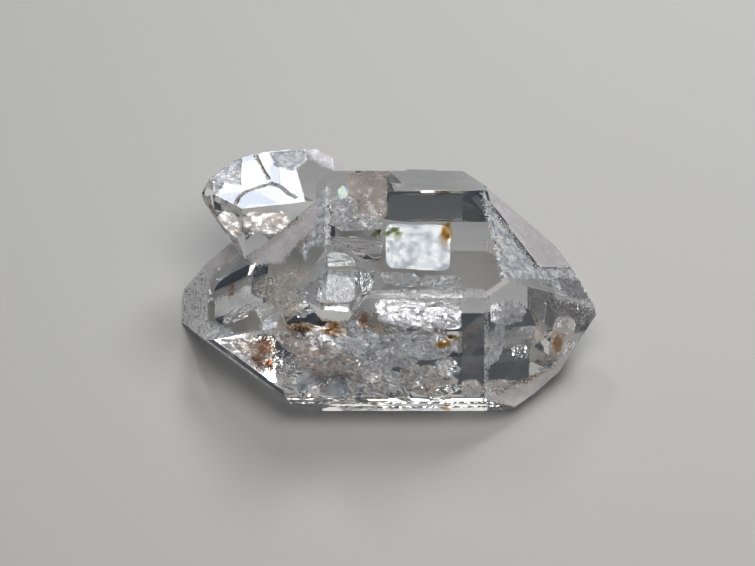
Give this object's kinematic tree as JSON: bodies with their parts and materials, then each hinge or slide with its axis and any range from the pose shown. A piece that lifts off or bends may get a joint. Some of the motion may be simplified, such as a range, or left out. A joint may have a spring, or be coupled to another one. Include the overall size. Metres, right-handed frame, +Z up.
{
  "type": "petroleum quartz",
  "caption": "Clear double-pointed quartz crystal with a smaller crystal grown into its shoulder, a stub on its top face, and flat faces that end in blunt tips.",
  "frame": {"origin": "middle of the crystal's bounding box, at the level of the face it rests on", "axes": "+X along the main crystal's long axis towards its frosted end, +Y to the back, where the shoulder crystal stands, +Z up out of the face it rests on"},
  "size_m": [0.0202, 0.0138, 0.0075],
  "materials": {
    "quartz": "clear and glassy, frosted on one end face and along the left rim"
  },
  "bodies": {
    "root": {"quartz_cluster": "quartz"}
  },
  "joints": []
}
